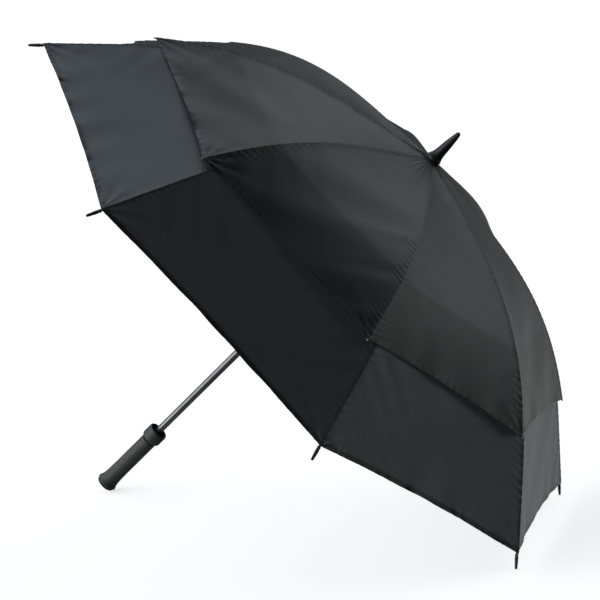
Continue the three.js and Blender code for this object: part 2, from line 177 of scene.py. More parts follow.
def umbrella_frame():
    """The upright frame, from the eight hinges that the ribs turn on."""
    pivot = sum((Vector(rib_joint(k)["pos_m"]) for k in RIBS), Vector()) / RIB_COUNT
    tangent = Vector(rib_joint(1)["axis"])
    up = tangent.cross(Vector(rib_joint(3)["axis"])).normalized()
    radial = tangent.cross(up)
    across = radial * math.cos(HALF_SECTOR) - tangent * math.sin(HALF_SECTOR)
    turn = Matrix((across, up.cross(across), up)).transposed()
    return Matrix.Translation(pivot - up * PIVOT_Z) @ turn.to_4x4()


UMBRELLA = umbrella_frame()


def rib_frame(k):
    """Rib k lies in the plane y = 0 of this frame, with x away from the shaft."""
    return UMBRELLA @ Matrix.Rotation(math.radians((k - 0.5) * SECTOR), 4, "Z")


# ---- The profile over a rib ----

def slope(arc):
    """How steeply a rib runs down at an arc length from the crown, in radians."""
    share = np.clip((np.asarray(arc) / RIB_ARC - BEND_FROM) / (BEND_TO - BEND_FROM), 0, 1)
    bend = share * share * (3 - 2 * share)
    return np.radians(CROWN_SLOPE + (TIP_SLOPE - CROWN_SLOPE) * bend)


PROFILE_ARCS = np.arange(-20, 780) * MM
_middle = slope(PROFILE_ARCS[:-1] + MM / 2)
_zero = int(np.argmin(np.abs(PROFILE_ARCS)))
PROFILE_R = np.concatenate(([0], np.cumsum(np.cos(_middle) * MM)))
PROFILE_R += CROWN_R - PROFILE_R[_zero]
PROFILE_Z = np.concatenate(([0], np.cumsum(-np.sin(_middle) * MM)))
PROFILE_Z -= PROFILE_Z[_zero]


def profile(arc, lift=0.0):
    """(radius, z) at an arc length from the crown, lifted off the profile along its normal."""
    r = np.interp(arc, PROFILE_ARCS, PROFILE_R) + lift * np.sin(slope(arc))
    z = np.interp(arc, PROFILE_ARCS, PROFILE_Z) + lift * np.cos(slope(arc))
    return r, z


def profile_point(arc, lift=0.0):
    """A point of the profile, in the plane of a rib."""
    r, z = profile(arc, lift)
    return Vector((float(r), 0, float(z)))


# ---- Materials ----

def feed(tree, node, inputs):
    """Sets inputs of a node, to values or to the outputs of other nodes."""
    for key, value in inputs.items():
        if isinstance(value, bpy.types.NodeSocket):
            tree.links.new(value, node.inputs[key])
        else:
            node.inputs[key].default_value = value


def make(tree, kind, inputs=None, **settings):
    """A new node with its settings and inputs."""
    node = tree.nodes.new("ShaderNode" + kind)
    for key, value in settings.items():
        setattr(node, key, value)
    feed(tree, node, inputs or {})
    return node


def math_of(tree, operation, first, second=0.0):
    """A sum or a function of one or two values."""
    return make(tree, "Math", {0: first, 1: second}, operation=operation).outputs[0]


def remap(tree, value, low, high, to_low, to_high, smooth=False):
    """A value carried from one range to another, and held inside it."""
    kind = "SMOOTHSTEP" if smooth else "LINEAR"
    inputs = {"Value": value, "From Min": low, "From Max": high, "To Min": to_low, "To Max": to_high}
    return make(tree, "MapRange", inputs, interpolation_type=kind).outputs["Result"]


def blank(name):
    """A new material, its tree and its Principled shader."""
    material = bpy.data.materials.new(name)
    material.use_nodes = True
    return material, material.node_tree, material.node_tree.nodes["Principled BSDF"]


def noise(tree, scale, detail, roughness):
    """Noise in the object's own coordinates, as a value round 0.5."""
    coordinates = make(tree, "TexCoord").outputs["Object"]
    inputs = {"Vector": coordinates, "Scale": scale, "Detail": detail, "Roughness": roughness}
    return make(tree, "TexNoise", inputs).outputs["Fac"]


def shade(tree, factor, dark, light, low=NOISE_LOW, high=NOISE_HIGH):
    """A colour between dark and light by a value."""
    share = remap(tree, factor, low, high, 0, 1)
    mix = make(tree, "Mix", {"Factor": share, "A": (*dark, 1), "B": (*light, 1)}, data_type="RGBA")
    return mix.outputs["Result"]


def vary(tree, factor, low, high):
    """A number between low and high by noise."""
    return remap(tree, factor, NOISE_LOW, NOISE_HIGH, low, high)


def bump(tree, height, distance, strength=1.0, below=None):
    """A normal that follows a height, on top of another normal where below is given."""
    inputs = {"Height": height, "Distance": distance, "Strength": strength}
    if below is not None:
        inputs["Normal"] = below
    return make(tree, "Bump", inputs).outputs["Normal"]


def stitches(tree, distance, along, offset):
    """A row of stitches at a distance from an edge: 1 on the thread, 0 off it."""
    stitch_pitch = 3.2 * MM
    thread_half = 0.45 * MM
    away = math_of(tree, "ABSOLUTE", math_of(tree, "SUBTRACT", distance, offset))
    line = remap(tree, away, thread_half, 0, 0, 1, smooth=True)
    wave = math_of(tree, "SINE", math_of(tree, "MULTIPLY", along, math.tau / stitch_pitch))
    dash = remap(tree, wave, -0.75, -0.35, 0, 1, smooth=True)
    return math_of(tree, "MULTIPLY", line, dash)


def cloth_material(name, dark, light, glow, roughness, sheen):
    """Closely woven satin cloth that lets a little light through, stitched along its seams and hems."""
    material, tree, surface = blank(name)
    weave_pitch = 0.45 * MM
    inner_row = 1.6 * MM
    outer_row = 5 * MM
    hem_row = HEM_W - 1.5 * MM
    weave_uv = make(tree, "SeparateXYZ", {0: make(tree, "UVMap", uv_map="Weave").outputs["UV"]})
    edge_uv = make(tree, "SeparateXYZ", {0: make(tree, "UVMap", uv_map="Edges").outputs["UV"]})
    across = weave_uv.outputs[0]
    along = weave_uv.outputs[1]
    from_seam = edge_uv.outputs[0]
    from_hem = edge_uv.outputs[1]
    warp = math_of(tree, "SINE", math_of(tree, "MULTIPLY", across, math.tau / weave_pitch))
    weft = math_of(tree, "SINE", math_of(tree, "MULTIPLY", along, math.tau / weave_pitch))
    weave = math_of(tree, "MULTIPLY", warp, weft)
    seam = [stitches(tree, from_seam, along, offset) for offset in (inner_row, outer_row)]
    hem = stitches(tree, from_hem, across, hem_row)
    thread = math_of(tree, "MAXIMUM", math_of(tree, "MAXIMUM", *seam), hem)
    slub = noise(tree, 900, 3, 0.6)
    patches = noise(tree, 7, 3, 0.55)
    tone = math_of(tree, "ADD", math_of(tree, "MULTIPLY", slub, 0.5), math_of(tree, "MULTIPLY", patches, 0.5))
    fabric = bump(tree, weave, 0.05 * MM, 0.5)
    feed(tree, surface, {
        "Base Color": shade(tree, tone, dark, light, 0.35, 0.65),
        "Roughness": vary(tree, slub, roughness - 0.05, roughness + 0.06),
        "Sheen Weight": sheen,
        "Sheen Roughness": 0.35,
        "Sheen Tint": (0.8, 0.87, 0.92, 1),
        "Normal": bump(tree, thread, 0.35 * MM, 0.9, fabric),
    })
    through = make(tree, "BsdfTranslucent", {"Color": (*glow, 1), "Normal": fabric})
    both = make(tree, "AddShader", {0: surface.outputs["BSDF"], 1: through.outputs["BSDF"]})
    feed(tree, tree.nodes["Material Output"], {"Surface": both.outputs["Shader"]})
    return material


def moulded_material(name, dark, light, roughness, grain=0.08):
    """Moulded plastic: fine grain, slightly uneven gloss and colour. grain is in millimetres."""
    material, tree, surface = blank(name)
    fine = noise(tree, 2600, 2, 0.5)
    broad = noise(tree, 60, 3, 0.5)
    feed(tree, surface, {
        "Base Color": shade(tree, broad, dark, light),
        "Roughness": vary(tree, broad, roughness - 0.05, roughness + 0.08),
        "Normal": bump(tree, fine, grain * MM, 0.6),
    })
    return material


def fibreglass_material():
    """Black fibreglass rod with fine streaks."""
    material, tree, surface = blank("fibreglass_rod")
    streaks = noise(tree, 420, 3, 0.6)
    feed(tree, surface, {
        "Base Color": shade(tree, streaks, (0.012, 0.012, 0.013), (0.04, 0.041, 0.044)),
        "Roughness": vary(tree, streaks, 0.22, 0.36),
        "Coat Weight": 0.3,
        "Coat Roughness": 0.15,
        "Normal": bump(tree, streaks, 0.03 * MM, 0.5),
    })
    return material


def rubber_material():
    """Dense grip foam: a fine pebbled skin."""
    material, tree, surface = blank("grip_foam")
    coordinates = make(tree, "TexCoord").outputs["Object"]
    pebble = make(tree, "TexVoronoi", {"Vector": coordinates, "Scale": 1100}).outputs["Distance"]
    fine = noise(tree, 1900, 3, 0.6)
    broad = noise(tree, 190, 4, 0.65)
    feed(tree, surface, {
        "Base Color": shade(tree, broad, (0.055, 0.059, 0.059), (0.085, 0.090, 0.090)),
        "Roughness": vary(tree, fine, 0.5, 0.66),
        "Sheen Weight": 0.12,
        "Normal": bump(tree, math_of(tree, "ADD", pebble, fine), 0.16 * MM, 0.7),
    })
    return material


def shaft_material():
    """Dark satin coating over a drawn tube, slightly uneven."""
    material, tree, surface = blank("shaft_coat")
    fine = noise(tree, 700, 2, 0.5)
    broad = noise(tree, 25, 3, 0.5)
    feed(tree, surface, {
        "Base Color": shade(tree, broad, (0.17, 0.173, 0.178), (0.22, 0.223, 0.228)),
        "Roughness": vary(tree, fine, 0.24, 0.34),
        "Metallic": 0.8,
        "Normal": bump(tree, fine, 0.02 * MM, 0.4),
    })
    return material


def steel_material():
    """Bright plated steel, for wires, rivets and the stud."""
    material, tree, surface = blank("bright_steel")
    fine = noise(tree, 1500, 2, 0.5)
    feed(tree, surface, {
        "Base Color": shade(tree, fine, (0.42, 0.43, 0.45), (0.62, 0.63, 0.65)),
        "Roughness": vary(tree, fine, 0.18, 0.34),
        "Metallic": 1,
        "Normal": bump(tree, fine, 0.02 * MM, 0.4),
    })
    return material


def thread_material():
    """Twisted black sewing thread."""
    material, tree, surface = blank("sewing_thread")
    twist = noise(tree, 3200, 2, 0.5)
    feed(tree, surface, {
        "Base Color": shade(tree, twist, (0.008, 0.008, 0.009), (0.03, 0.03, 0.032)),
        "Roughness": 0.75,
        "Sheen Weight": 0.3,
        "Normal": bump(tree, twist, 0.1 * MM, 0.8),
    })
    return material


CLOTH = cloth_material(
    "pongee", dark=(0.0045, 0.0047, 0.0052), light=(0.0075, 0.0079, 0.0086),
    glow=(0.020, 0.022, 0.025), roughness=0.33, sheen=0.03,
)
STRAP_CLOTH = cloth_material(
    "strap_weave", dark=(0.007, 0.007, 0.008), light=(0.012, 0.012, 0.013),
    glow=(0.003, 0.003, 0.003), roughness=0.7, sheen=0.2,
)
FIBREGLASS = fibreglass_material()
PLASTIC = moulded_material("moulded_black", (0.016, 0.0165, 0.017), (0.026, 0.0265, 0.027), 0.42)
CUP_PLASTIC = moulded_material("moulded_charcoal", (0.05, 0.051, 0.052), (0.066, 0.067, 0.068), 0.48, 0.12)
BUTTON_PLASTIC = moulded_material("moulded_grey", (0.04, 0.04, 0.043), (0.06, 0.06, 0.064), 0.4)
RUBBER = rubber_material()
SHAFT_COAT = shaft_material()
STEEL = steel_material()
THREAD = thread_material()


# ---- Mesh helpers ----

def mesh_of(name, points, faces):
    mesh = bpy.data.meshes.new(name)
    mesh.from_pydata([tuple(p) for p in points], [], faces)
    return mesh


def tidy_mesh(mesh, sharp=SHARP_ANGLE):
    """Merges doubled vertices, turns the faces out and shades the mesh smooth up to an angle."""
    shape = bmesh.new()
    shape.from_mesh(mesh)
    bmesh.ops.remove_doubles(shape, verts=shape.verts, dist=0.5e-6)
    bmesh.ops.recalc_face_normals(shape, faces=shape.faces)
    shape.to_mesh(mesh)
    shape.free()
    mesh.polygons.foreach_set("use_smooth", [True] * len(mesh.polygons))
    mesh.set_sharp_from_angle(angle=math.radians(sharp))
    return mesh


def ring_faces(rings, sides, closed=False):
    """Quads between rings of points. closed joins the last ring to the first."""
    faces = []
    for i in range(rings if closed else rings - 1):
        for j in range(sides):
            here = i * sides
            there = ((i + 1) % rings) * sides
            after = (j + 1) % sides
            faces.append((here + j, here + after, there + after, there + j))
    return faces


def soften(pairs, radius=0.8 * MM, steps=4):
    """Rounds the corners between the first and last points of an outline."""
    points = [np.array(pair, float) for pair in pairs]
    out = [points[0]]
    for before, corner, after in zip(points, points[1:], points[2:]):
        back = before - corner
        ahead = after - corner
        reach = min(radius, 0.45 * np.linalg.norm(back), 0.45 * np.linalg.norm(ahead))
        start = corner + back / np.linalg.norm(back) * reach
        end = corner + ahead / np.linalg.norm(ahead) * reach
        for t in np.linspace(0, 1, steps):
            out.append((1 - t) ** 2 * start + 2 * t * (1 - t) * corner + t * t * end)
    out.append(points[-1])
    return out


def lathe(name, pairs, sides=56, closed=False, radius=0.8 * MM):
    """A body turned about Z from (radius, z) pairs, its corners rounded."""
    outline = soften(pairs + pairs[:2] if closed else pairs, radius)
    if closed:
        outline = outline[1:-1]
    angles = np.linspace(0, math.tau, sides, endpoint=False)
    points = [(r * math.cos(a), r * math.sin(a), z) for r, z in outline for a in angles]
    return tidy_mesh(mesh_of(name, points, ring_faces(len(outline), sides, closed)))


def sweep(name, path, radii, sides=14):
    """A round bar along points, with a radius at each, closed at both ends."""
    path = [Vector(p) for p in path]
    points = []
    for i, here in enumerate(path):
        along = (path[min(i + 1, len(path) - 1)] - path[max(i - 1, 0)]).normalized()
        side = along.cross(Vector((0, 0, 1)) if abs(along.z) < 0.9 else Vector((0, 1, 0))).normalized()
        other = along.cross(side)
        for j in range(sides):
            angle = math.tau * j / sides
            points.append(here + (side * math.cos(angle) + other * math.sin(angle)) * radii[i])
    faces = ring_faces(len(path), sides)
    faces.append(tuple(reversed(range(sides))))
    faces.append(tuple(range(len(points) - sides, len(points))))
    return tidy_mesh(mesh_of(name, points, faces), 50)


def ring(name, height, radius, tube, turns=1, pitch=0.0, around=40, sides=10):
    """A torus about Z at a height, or a helix where it has more than one turn."""
    steps = around if turns == 1 else around * turns + 1
    points = []
    for i in range(steps):
        a = math.tau * i / around
        rise = height + pitch * (i / around - turns / 2)
        for j in range(sides):
            b = math.tau * j / sides
            reach = radius + tube * math.cos(b)
            points.append((reach * math.cos(a), reach * math.sin(a), rise + tube * math.sin(b)))
    return tidy_mesh(mesh_of(name, points, ring_faces(steps, sides, turns == 1)), 60)


def dome(radius, top, steps):
    """(radius, z) pairs up a round end, all but the last, which is on the axis."""
    angles = np.linspace(0, math.pi / 2, steps)[:-1]
    return [(radius * math.cos(a), top - radius + radius * math.sin(a)) for a in angles]


def plate(name, outline, thickness, centre=0.0):
    """A flat plate in the plane y = 0 from (x, z) points."""
    count = len(outline)
    points = [(x, centre + y, z) for y in (-thickness / 2, thickness / 2) for x, z in outline]
    faces = [(i, (i + 1) % count, count + (i + 1) % count, count + i) for i in range(count)]
    faces.append(tuple(reversed(range(count))))
    faces.append(tuple(range(count, 2 * count)))
    return tidy_mesh(mesh_of(name, points, faces))


def joined(name, meshes):
    """One mesh from several."""
    shape = bmesh.new()
    for mesh in meshes:
        shape.from_mesh(mesh)
    whole = bpy.data.meshes.new(name)
    shape.to_mesh(whole)
    shape.free()
    for mesh in meshes:
        bpy.data.meshes.remove(mesh)
    return whole


def add_uv_maps(mesh, weave, edges):
    """Two maps in metres: Weave for the threads, Edges for the stitches along seam and hem."""
    corners = np.array([loop.vertex_index for loop in mesh.loops])
    for label, values in (("Weave", weave), ("Edges", edges)):
        mesh.uv_layers.new(name=label).data.foreach_set("uv", values[corners].astype(np.float32).ravel())


def turned(mesh, matrix):
    """The mesh itself, after a transform."""
    mesh.transform(matrix)
    return mesh


def piece(name, mesh, place, body, material, nodes=()):
    """Adds a mesh to the object, riding on a CAD body."""
    mesh.transform(place)
    mesh.name = name
    mesh.materials.append(material)
    obj = bpy.data.objects.new(name, mesh)
    bpy.context.scene.collection.objects.link(obj)
    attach(obj, body)
    if nodes:
        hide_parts(*nodes)
    return obj


def bevelled(obj, width, angle=SHARP_ANGLE):
    """Rounds an object's sharp edges."""
    modifier = obj.modifiers.new("edges", "BEVEL")
    modifier.width = width
    modifier.segments = 2
    modifier.limit_method = "ANGLE"
    modifier.angle_limit = math.radians(angle)


def dressed(node, material, width=0.35 * MM):
    """Gives a CAD node its material, rounded edges and smooth shading."""
    obj = frame["nodes"][node]
    obj.data.materials.clear()
    obj.data.materials.append(material)
    obj.data.polygons.foreach_set("use_smooth", [True] * len(obj.data.polygons))
    obj.data.set_sharp_from_angle(angle=math.radians(SHARP_ANGLE))
    bevelled(obj, width)


# ---- Canopy ----

class Layer:
    """One of the two layers of the canopy: where it runs, and how far it stands off the ribs."""

    def __init__(self, name, end, scallop, seed):
        self.name = name
        self.end = end
        self.scallop = scallop
        self.seed = seed

    def hem(self, across):
        """The arc length at which the cloth ends, shorter in the middle of a panel."""
        return self.end - self.scallop * (1 - across * across)

    def lift(self, arc):
        """How far the middle of the cloth's thickness is above the profile."""
        if self.name == "lower":
            return LOWER_LIFT + CLOTH_T / 2 + 0 * arc
        return UPPER_CLEARANCE + CLOTH_T / 2 + UPPER_LIFT * np.clip(arc / UPPER_ARC, 0, 2) ** 2.4

    def twist(self, arc):
        """How far the upper layer is turned about the shaft, in radians. It grows towards the hem."""
        if self.name == "lower":
            return 0 * arc
        return -math.radians(UPPER_TWIST) * np.clip(arc / UPPER_ARC, 0, 2)


UPPER = Layer("upper", UPPER_ARC, UPPER_SCALLOP, 100)
LOWER = Layer("lower", RIB_ARC, LOWER_SCALLOP, 200)


def ripple(seed, x):
    """Smooth uneven waves about 1 long and about 1 high."""
    random = np.random.default_rng(seed)
    waves = 4
    lengths = random.uniform(0.6, 1.5, waves)
    phases = random.uniform(0, math.tau, waves)
    total = sum(np.sin(math.tau * x / length + phase) for length, phase in zip(lengths, phases))
    return total / math.sqrt(waves)


def creases(layer, panel, arc, across):
    """How far the cloth stands off its smooth shape: puckers, tucks and slack, in metres."""
    half_width = profile(arc)[0] * math.sin(HALF_SECTOR)
    to_hem = np.maximum(layer.hem(across) - arc, 0)
    middle = across * half_width
    seed = layer.seed + 10 * panel
    off_seam = 1 - across ** 40
    # Puckers on the hem, slack just inside it, and broad waves over the whole panel.
    height = 0.5 * MM * np.exp(-to_hem / (7 * MM)) * ripple(seed, middle / (13 * MM)) * off_seam
    slack = 1.0 * MM * np.exp(-to_hem / (50 * MM)) * ripple(seed + 1, middle / (95 * MM))
    height += slack * (1 - across ** 6)
    height += 0.9 * MM * (1 - across * across) * ripple(seed + 2, arc / (190 * MM) + middle / (260 * MM))
    for edge in (-1, 1):
        away = half_width * np.abs(across - edge)
        # Seeds go by the rib, so that the two panels that meet on it meet exactly.
        rib = panel if edge < 0 else panel % RIB_COUNT + 1
        rib_seed = layer.seed + 1000 + 10 * rib
        height += 0.30 * MM * np.exp(-away / (13 * MM)) * ripple(rib_seed, (arc + 0.3 * away) / (12 * MM))
        # Slanting tucks beside the seam.
        fold = np.exp(-away / (60 * MM)) * (1 - np.exp(-away / (15 * MM)))
        height += 0.6 * MM * fold * ripple(rib_seed + 2 + edge, (arc - 0.8 * away) / (60 * MM))
        # Rays from the corner where the seam meets the hem.
        reach = np.hypot(away, to_hem)
        angle = np.arctan2(away, to_hem + 1e-6)
        star = np.exp(-reach / (48 * MM)) * (1 - np.exp(-reach / (9 * MM)))
        height += 1.0 * MM * star * np.sin(9 * angle) * np.cos(rib_seed)
    crown = np.exp(-np.maximum(arc, 0) / (55 * MM))
    height += 0.5 * MM * crown * np.cos(3 * math.tau * across)
    return height


def seam_relief(half_width, across):
    """The cloth rides up over the rod, and its seam allowance makes a low flat band."""
    away = half_width * (1 - np.abs(across))
    over_rod = 0.5 * MM * np.exp(-(away / (2.6 * MM)) ** 2)
    band = 0.28 * MM / (1 + np.exp((away - 6.5 * MM) / (0.5 * MM)))
    return (over_rod + band) * np.clip(half_width / (40 * MM), 0, 1)


def panel_point(layer, panel, arc, across, extra=0.0):
    """Points of a panel in the upright frame. across is -1 on the panel's rib and 1 on the next."""
    r, z = profile(arc)
    lean = slope(arc)
    half_width = r * math.sin(HALF_SECTOR)
    relief = creases(layer, panel, arc, across) + seam_relief(half_width, across)
    sag = PANEL_SAG * (1 - across * across) * np.clip(arc / (0.3 * RIB_ARC), 0, 1)
    lift = layer.lift(arc) + relief - sag + extra
    flat = across * across
    mid_length = np.hypot(np.sin(lean), np.cos(lean) * math.cos(HALF_SECTOR))
    nx = (1 - flat) * np.sin(lean) / mid_length + flat * np.sin(lean) * math.cos(HALF_SECTOR)
    ny = across * np.sin(lean) * math.sin(HALF_SECTOR)
    nz = (1 - flat) * np.cos(lean) * math.cos(HALF_SECTOR) / mid_length + flat * np.cos(lean)
    length = np.sqrt(nx * nx + ny * ny + nz * nz)
    x = r * math.cos(HALF_SECTOR) + lift * nx / length
    y = across * half_width + lift * ny / length
    turn = math.radians(panel * SECTOR) + layer.twist(arc)
    z = z + lift * nz / length
    return np.stack([x * np.cos(turn) - y * np.sin(turn), x * np.sin(turn) + y * np.cos(turn), z], -1)


def panel_normal(layer, panel, arc, across):
    """Unit normals of the outer face, the same on both sides of the panel's middle."""
    step = 0.4 * MM
    stretch = step / np.maximum(profile(arc)[0] * math.sin(HALF_SECTOR), 4 * MM)
    along = panel_point(layer, panel, arc + step, across) - panel_point(layer, panel, arc - step, across)
    high = panel_point(layer, panel, arc, np.clip(across + stretch, -1, 1))
    low = panel_point(layer, panel, arc, np.clip(across - stretch, -1, 1))
    normal = np.cross(along, high - low)
    return normal / np.linalg.norm(normal, axis=-1, keepdims=True)


def fold_rows():
    """(distance in from the edge, drop) of the rows that turn an edge under."""
    half = HEM_T / 2
    turn = [(half * (1 - math.sin(a)), half * (1 - math.cos(a))) for a in np.linspace(0, math.pi, 6)]
    return turn + [(0.35 * HEM_W, HEM_T), (0.7 * HEM_W, HEM_T), (HEM_W, HEM_T - 0.1 * MM)]


def cloth_columns(layer, side):
    """Positions across half a panel, from its rib to its middle, closer together at the rib."""
    spread = np.linspace(0, 1, CLOTH_COLUMNS[layer.name] + 1) ** 1.6
    return -side * (1 - spread)


def plain_rows(start, end, across):
    """(arc, drop) of even rows between two arc lengths."""
    count = int((end - start) / ROW_STEP)
    return [(arc + 0 * across, 0) for arc in np.linspace(start, end, count)]


def hemmed_rows(layer, start, across):
    """(arc, drop) of rows down to the hem, which is turned under. So is the lower layer's top edge."""
    length = layer.end - start
    count = int((length - HEM_ROWS[0]) / ROW_STEP)
    in_from_hem = np.concatenate([np.linspace(length, HEM_ROWS[0], count, endpoint=False), HEM_ROWS])
    rows = []
    if layer.name == "lower":
        rows += [(start + inward + 0 * across, drop) for inward, drop in reversed(fold_rows())]
    for distance in in_from_hem:
        share = 1 - distance / length
        rows.append((start + (layer.hem(across) - start) * share, 0))
    return rows + [(layer.hem(across) - inward, drop) for inward, drop in fold_rows()]


def cloth_mesh(name, layer, panel, across, rows, side):
    """A grid of cloth over rows and columns, with arc, across and drop of each of its vertices."""
    arc = np.array([row[0] for row in rows])
    drop = np.array([np.full_like(across, row[1]) for row in rows])
    wide = np.broadcast_to(across, arc.shape)
    points = panel_point(layer, panel, arc, wide, -drop)
    mesh = bpy.data.meshes.new(name)
    index = np.arange(arc.size).reshape(arc.shape)
    quads = np.stack([index[:-1, :-1], index[1:, :-1], index[1:, 1:], index[:-1, 1:]], -1).reshape(-1, 4)
    if side < 0:
        quads = quads[:, ::-1]
    mesh.from_pydata(points.reshape(-1, 3).tolist(), [], quads.tolist())
    half_width = profile(arc)[0] * math.sin(HALF_SECTOR)
    weave = np.stack([wide * half_width, arc], -1).reshape(-1, 2)
    edges = np.stack([half_width * (1 - np.abs(wide)), layer.hem(wide) - arc], -1).reshape(-1, 2)
    add_uv_maps(mesh, weave, edges)
    mesh.polygons.foreach_set("use_smooth", [True] * len(mesh.polygons))
    return mesh, arc, wide, drop


def outer_normals(mesh, layer, panel, arc, wide, drop):
    """The surface's own normals on the rows that aren't turned under; Blender's on the fold."""
    exact = panel_normal(layer, panel, arc, wide).reshape(-1, 3)
    own = np.zeros(len(mesh.vertices) * 3, np.float32)
    mesh.vertex_normals.foreach_get("vector", own)
    own = own.reshape(-1, 3)
    facing = np.where((own * exact).sum(-1, keepdims=True) < 0, -1, 1)
    turned_under = drop.reshape(-1, 1) > 0
    return np.where(turned_under, own, exact * facing)


def gather(obj):
    """Gives a piece of cloth a mesh of its own."""
    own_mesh(obj)


def half_panel(layer, k, side, name, start, end, body, nodes):
    """The cloth from rib k to the middle of the panel on one side of it, between two arc lengths.

    It reaches the hem where end is None.
    """
    panel = k if side > 0 else (k - 2) % RIB_COUNT + 1
    across = cloth_columns(layer, side)
    hems = 0
    if end is None:
        end = layer.end
        hems = 2 if layer.name == "lower" else 1
    rows = hemmed_rows(layer, start, across) if hems else plain_rows(start, end, across)
    mesh, arc, wide, drop = cloth_mesh(name, layer, panel, across, rows, side)
    normals = outer_normals(mesh, layer, panel, arc, wide, drop)
    turn = np.array(UMBRELLA.to_3x3())
    mesh.transform(UMBRELLA)
    mesh.normals_split_custom_set_from_vertices((normals @ turn.T).tolist())
    obj = piece(name, mesh, Matrix.Identity(4), body, CLOTH, nodes)
    gather(obj)


def canopy():
    """Two pieces of the upper layer and one of the lower layer on each side of each rib."""
    crown = CROWN_HOLE_R - CROWN_R
    for k in RIBS:
        inner = f"rib_{k}"
        outer = f"rib_{k}_end"
        upper = [f"canopy_upper_{k}"]
        lower = [f"canopy_lower_{k}"]
        for side, hand in ((-1, "left"), (1, "right")):
            names = [f"{part}_{k}_{hand}" for part in ("upper_cloth", "upper_hem", "lower_cloth")]
            half_panel(UPPER, k, side, names[0], crown, FLEX_ARC, inner, upper)
            half_panel(UPPER, k, side, names[1], FLEX_ARC, None, outer, [])
            half_panel(LOWER, k, side, names[2], LOWER_FROM, None, outer, lower)


# ---- Ribs ----

def inner_rod(k):
    """The rod from its eye on the notch wire to the flex hinge."""
    eye = Vector((CROWN_R, 0, PIVOT_Z))
    arcs = np.linspace(30 * MM, FLEX_ARC - FLEX_GAP, 26)
    path = [profile_point(arc, -ROD_DEPTH) for arc in arcs]
    start = eye + (path[0] - eye).normalized() * 1.7 * MM
    path = [start, start.lerp(path[0], 0.5)] + path
    mesh = sweep("rod", path, [ROD_R] * len(path))
    piece(f"rib_{k}_rod", mesh, rib_frame(k), f"rib_{k}", FIBREGLASS, [f"rib_{k}_inner"])


def outer_rod(k):
    """The rod from the flex hinge into the tip cap."""
    arcs = np.linspace(FLEX_ARC + FLEX_GAP, RIB_ARC + 10 * MM, 26)
    mesh = sweep("rod", [profile_point(arc, -ROD_DEPTH) for arc in arcs], [ROD_R] * len(arcs))
    name = f"rib_{k}_end_rod"
    piece(name, mesh, rib_frame(k), f"rib_{k}_end", FIBREGLASS, [f"rib_{k}_outer"])


def eye_ring():
    """The rib's eye, round the notch wire."""
    low = -EYE_W / 2
    outline = [(WIRE_HOLE_R, low), (EYE_R, low), (EYE_R, -low), (WIRE_HOLE_R, -low)]
    mesh = lathe("eye", outline, 28, True, 0.4 * MM)
    place = Matrix.Translation((CROWN_R, 0, PIVOT_Z)) @ Matrix.Rotation(math.pi / 2, 4, "X")
    return turned(mesh, place)


def bracket_outline():
    """(x, z) pairs round a cheek, which hangs from the rod and is round about the stretcher's pin."""
    centre = profile_point(BRACKET_ARC, -(ROD_DEPTH + BRACKET_DROP))
    lean = float(slope(BRACKET_ARC))
    reach = EYE_R + 0.6 * MM
    outline = [profile_point(BRACKET_ARC - 8 * MM, -ROD_DEPTH)]
    for angle in np.linspace(math.pi - lean, math.tau - lean, 12):
        outline.append(centre + Vector((math.cos(angle), 0, math.sin(angle))) * reach)
    outline.append(profile_point(BRACKET_ARC + 8 * MM, -ROD_DEPTH))
    return [(p.x, p.z) for p in outline]


def bracket(k):
    """The moulded sleeve on the rib, with two cheeks that hold the stretcher's pin, and the rib's eye."""
    arcs = np.linspace(BRACKET_ARC - BRACKET_HALF, BRACKET_ARC + BRACKET_HALF, 9)
    radii = [ROD_R + x * MM for x in (0.7, 1.3, 1.4, 1.2, 1.2, 1.2, 1.4, 1.3, 0.7)]
    sleeve = sweep("sleeve", [profile_point(arc, -ROD_DEPTH) for arc in arcs], radii, 20)
    offset = EYE_W / 2 + GAP + 0.7 * MM
    cheeks = [plate("cheek", bracket_outline(), 1.4 * MM, y) for y in (-offset, offset)]
    mesh = joined("bracket", [sleeve, eye_ring(), *cheeks])
    obj = piece(f"rib_{k}_bracket", mesh, rib_frame(k), f"rib_{k}", PLASTIC)
    bevelled(obj, 0.3 * MM, 50)


def rivet(k):
    """The stretcher's pin, with a domed head on each cheek."""
    half = EYE_W / 2 + GAP + 1.4 * MM
    head = 0.7 * MM
    outline = [(0, -half - head), (1.3 * MM, -half - 0.4 * head), (1.7 * MM, -half), (0.9 * MM, -half)]
    outline += [(r, -z) for r, z in reversed(outline)]
    at = profile_point(BRACKET_ARC, -(ROD_DEPTH + BRACKET_DROP))
    place = Matrix.Translation(at) @ Matrix.Rotation(math.pi / 2, 4, "X")
    mesh = turned(lathe("rivet", outline, 20, False, 0.3 * MM), place)
    piece(f"rib_{k}_rivet", mesh, rib_frame(k), f"rib_{k}", STEEL)


def along_rib(arc):
    """A frame on the rod's centreline with its Z towards the tip."""
    lean = Matrix.Rotation(math.pi / 2 + float(slope(arc)), 4, "Y")
    return Matrix.Translation(profile_point(arc, -ROD_DEPTH)) @ lean


